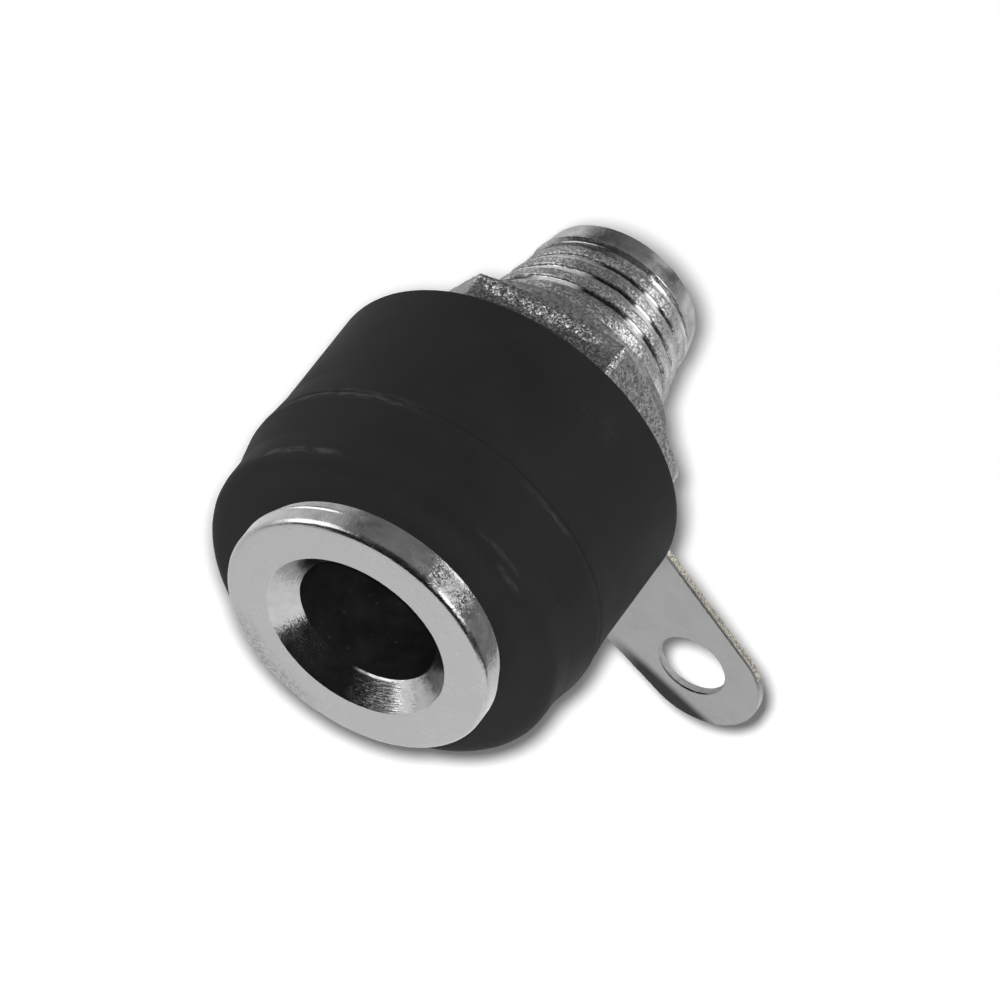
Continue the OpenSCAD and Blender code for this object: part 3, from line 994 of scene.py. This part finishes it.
def edge_rows(thick, roll):
    """Rows of a stamped edge from front face to back face: how far in from the outline, and how deep."""
    roll_rows, wall_rows = 6, 5
    leans = [math.pi / 2 * i / roll_rows for i in range(roll_rows + 1)]
    rolled = [(roll * (1 - math.sin(lean)), roll * (1 - math.cos(lean))) for lean in leans]
    wall = [(0.0, roll + (thick - roll) * i / wall_rows) for i in range(1, wall_rows + 1)]
    hold = 2.2 * roll
    return [(hold, 0.0), *rolled, *wall, (hold, thick)]


def stamp_edge(work, outline, roll, sense):
    """Adds one edge of the sheet, rolled over in front and torn behind; gives its front and back rims."""
    thick = TAG_REAR_Y - TAG_FRONT_Y
    turn = Matrix.Rotation(TAG_TURN, 2)
    count = len(outline)
    normals = []
    for i in range(count):
        along = outline[(i + 1) % count] - outline[i - 1]
        normals.append(sense * Vector((along.y, -along.x)).normalized())
    loops = []
    for inset, depth in edge_rows(thick, roll):
        tear = TAG_TEAR if roll < depth < thick and inset == 0 else 0.0
        loop = []
        for point, normal in zip(outline, normals):
            speck = solid_noise.noise(Vector((point.x, point.y, depth * 0.4)) / TEAR_GRAIN)
            flat = turn @ (point - normal * (inset + tear * max(0.0, speck)))
            loop.append(work.verts.new((flat.x, TAG_FRONT_Y + depth, -flat.y)))
        loops.append(loop)
    for near, far in zip(loops, loops[1:]):
        for i in range(count):
            work.faces.new((near[i - 1], near[i], far[i], far[i - 1]))
    return loops[0], loops[-1]


def paint_tag(mesh):
    """Tin on the faces, bare brass on the sheared wall and dull tin in the wire hole."""
    for finish in (tag_finish(), sheared_finish(), pierced_finish()):
        mesh.materials.append(finish)
    unturned = Matrix.Rotation(-TAG_TURN, 2)
    for face in mesh.polygons:
        face.use_smooth = True
        depth = face.center.y - TAG_FRONT_Y
        on_wall = abs(face.normal.y) < 0.25 and depth > TAG_ROLL
        if not on_wall:
            continue
        flat = unturned @ Vector((face.center.x, -face.center.z))
        if (flat - Vector((TAG_HOLE_REACH, 0))).length < TAG_HOLE_R + TAG_ROLL:
            face.material_index = 2
        elif SHANK_HOLE_R + TAG_ROLL < flat.length < TAG_SHEARED_TO and depth > 2 * TAG_ROLL:
            face.material_index = 1


def make_tag():
    """Stamped tag: rolled-over front edges, torn sheared walls, and holes for the shank and a wire."""
    work = bmesh.new()
    edges = (stamp_edge(work, tag_outline(0.05 * MM), TAG_ROLL, 1),
             stamp_edge(work, circle(0, SHANK_HOLE_R, 0.1 * MM), TAG_ROLL, -1),
             stamp_edge(work, circle(TAG_HOLE_REACH, TAG_HOLE_R, 0.04 * MM), TAG_HOLE_ROLL, -1))
    for rims in zip(*edges):
        sides = [work.edges.get((rim[i - 1], rim[i])) for rim in rims for i in range(len(rim))]
        bmesh.ops.triangle_fill(work, edges=sides, use_beauty=True)
    mesh = bpy.data.meshes.new("solder_tag_stamped")
    work.to_mesh(mesh)
    work.free()
    paint_tag(mesh)
    outward(mesh)
    return dress(add_object("solder_tag_stamped", mesh), "solder_tag")


# Studio

def toward(azimuth, elevation):
    """Direction from the jack to a place round it, in degrees; azimuth 0 is in front, 90 to the right."""
    a, e = math.radians(azimuth), math.radians(elevation)
    return Vector((math.sin(a) * math.cos(e), -math.cos(a) * math.cos(e), math.sin(e)))


def photo_view():
    """The photograph's view: what it looks at, directions back, right and up, and the turn that looks so."""
    back = toward(VIEW_AZIMUTH, VIEW_ELEVATION)
    turn = Quaternion(back, VIEW_ROLL) @ back.to_track_quat("Z", "Y")
    right, up = turn @ Vector((1, 0, 0)), turn @ Vector((0, 1, 0))
    aim = Vector((0, FACE_Y, 0)) + right * VIEW_SIDE + up * VIEW_UP
    return aim, back, right, up, turn


def stand(thing, place, turn):
    """Puts a camera or a lamp in its place, turned to look its way."""
    thing.location = place
    thing.rotation_mode = "QUATERNION"
    thing.rotation_quaternion = turn


def make_camera():
    """A long lens in the photograph's view."""
    data = bpy.data.cameras.new("camera")
    data.sensor_width = VIEW_SENSOR
    data.lens = VIEW_LENS
    data.clip_start = 10 * MM
    camera = add_object("camera", data)
    aim, back, _, _, turn = photo_view()
    stand(camera, aim + back * VIEW_DISTANCE, turn)
    bpy.context.scene.camera = camera


def make_key_light():
    """Even light from just in front of the camera, which lays a narrow shadow all round the jack."""
    data = bpy.data.lights.new("key_light", "AREA")
    data.shape = "DISK"
    data.size = KEY_LIGHT_SIZE
    data.energy = KEY_LIGHT_POWER
    lamp = add_object("key_light", data)
    aim, back, right, up, turn = photo_view()
    stand(lamp, aim + back * KEY_LIGHT_DISTANCE - right * KEY_LIGHT_LEFT + up * KEY_LIGHT_UP, turn)
    lamp.visible_camera = False
    lamp.visible_glossy = False


def make_softbox(name, azimuth, elevation, width, height, brightness):
    """A panel of light seen from the jack under the given angles, as bright as given."""
    data = bpy.data.lights.new(name, "AREA")
    data.shape = "RECTANGLE"
    data.size = 2 * SOFTBOX_DISTANCE * math.tan(math.radians(width) / 2)
    data.size_y = 2 * SOFTBOX_DISTANCE * math.tan(math.radians(height) / 2)
    data.energy = brightness * math.pi * data.size * data.size_y
    lamp = add_object(name, data)
    back = toward(azimuth, elevation)
    stand(lamp, back * SOFTBOX_DISTANCE, back.to_track_quat("Z", "Y"))
    # Only the metal mirrors it: the key light alone lights the black mouldings and the paper
    lamp.visible_diffuse = False


def seen_by(tree, rays):
    """1 for rays of the named kind, and 0 for others."""
    return field(tree, "ShaderNodeLightPath", output="Is " + rays + " Ray")


def make_floor():
    """White paper under the jack, which stays white away from the key light too."""
    mesh = bpy.data.meshes.new("floor")
    sides = 96
    turns = [math.tau * i / sides for i in range(sides)]
    rim = [(PAPER_R * math.cos(a), PAPER_R * math.sin(a), TAG_LOW_Z - PAPER_DROP) for a in turns]
    mesh.from_pydata(rim, [], [list(range(sides))])
    material, place = new_finish("white_paper")
    tree = material.node_tree
    seen = strongest(*(seen_by(tree, rays) for rays in ("Camera", "Glossy", "Transmission")))
    x, y, _ = xyz(place)
    away = lying_along(x, y, toward(VIEW_AZIMUTH + 180, 0)).straight(-40 * MM, 160 * MM)
    glow = fading(away, [
        (0.0, 0.03), (0.18, 0.09), (0.28, 0.15), (0.38, 0.3), (0.45, 0.4), (0.65, 0.7), (1.0, 0.9)])
    mesh.materials.append(finished(material, {
        "Base Color": grey(0.94),
        "Roughness": 0.9,
        "Specular IOR Level": 0.0,
        "Emission Color": grey(1),
        "Emission Strength": seen * glow}))
    add_object("floor", mesh)


def make_flag():
    """A dark card round the front and right, which only the bright metal sees; its right end is paler."""
    mesh = bpy.data.meshes.new("dark_card")
    turns = range(-25, 156, 5)
    points = []
    for turn in turns:
        a = math.radians(turn)
        low = TAG_LOW_Z + (2.2 if turn < 80 else -3.9) * MM
        high = (17 if turn < 50 else 4.5) * MM
        points += [(CARD_R * math.sin(a), -CARD_R * math.cos(a), z) for z in (low, high)]
    faces = [(2 * i, 2 * i + 2, 2 * i + 3, 2 * i + 1) for i in range(len(turns) - 1)]
    mesh.from_pydata(points, [], faces)
    material, place = new_finish("dark_card")
    _, y, z = xyz(place)
    foot = y.eased(9 * MM, 13 * MM) * z.eased(-6 * MM, -1.5 * MM, 0.7, 0.0)
    right_end = y.eased(13.5 * MM, 16.5 * MM, 0.0, 0.45)
    mesh.materials.append(finished(material, {
        "Base Color": grey(0),
        "Specular IOR Level": 0.0,
        "Emission Color": grey(1),
        "Emission Strength": foot + right_end + y.eased(-4 * MM, 8 * MM, 0.02, 0.3)}))
    card = add_object("dark_card", mesh)
    card.visible_camera = False
    card.visible_diffuse = False
    card.visible_shadow = False


def make_surroundings():
    """A pale wall to the left that fades upwards, a grey room behind and a dim room in front."""
    world = bpy.data.worlds.new("studio")
    bpy.context.scene.world = world
    world.use_nodes = True
    tree = world.node_tree
    x, y, z = xyz(field(tree, "ShaderNodeTexCoord", output="Generated"))
    flat = joined(x, y, 0.0).vector_step("LENGTH", output="Value")
    to_wall = lying_along(x, y, toward(-100, 0)) / flat
    wall = to_wall.eased(0.61, 0.77) * fading(z, [
        (0.0, 1.0), (0.1, 0.95), (0.34, 0.75), (0.57, 0.68), (0.67, 0.66), (0.75, 0.3), (1.0, 0.1)])
    to_rear = lying_along(x, y, toward(165, 0)) / flat
    rear = fading(to_rear, [(0.0, 0.03), (0.2, 0.1), (0.7, 0.12), (0.95, 0.3)])
    # The bright metal sees all of it, dull surfaces get a little light from it, and the camera sees white
    level = strongest(wall, rear) * strongest(seen_by(tree, "Glossy"), 0.15)
    level = strongest(level, seen_by(tree, "Camera"))
    feed(tree, tree.nodes["Background"].inputs["Color"], grey(level))


turning = turning_tree()
make_sleeve(turning)
make_front_bush(turning)
make_rear_bush(turning)
make_nut(turning)
make_tag()
make_camera()
make_key_light()
make_softbox("left_light", azimuth=-80, elevation=36, width=56, height=42, brightness=2.4)
make_softbox("right_light", azimuth=97, elevation=27, width=84, height=19, brightness=4.6)
make_floor()
make_flag()
make_surroundings()
bpy.context.scene.view_settings.view_transform = "Standard"
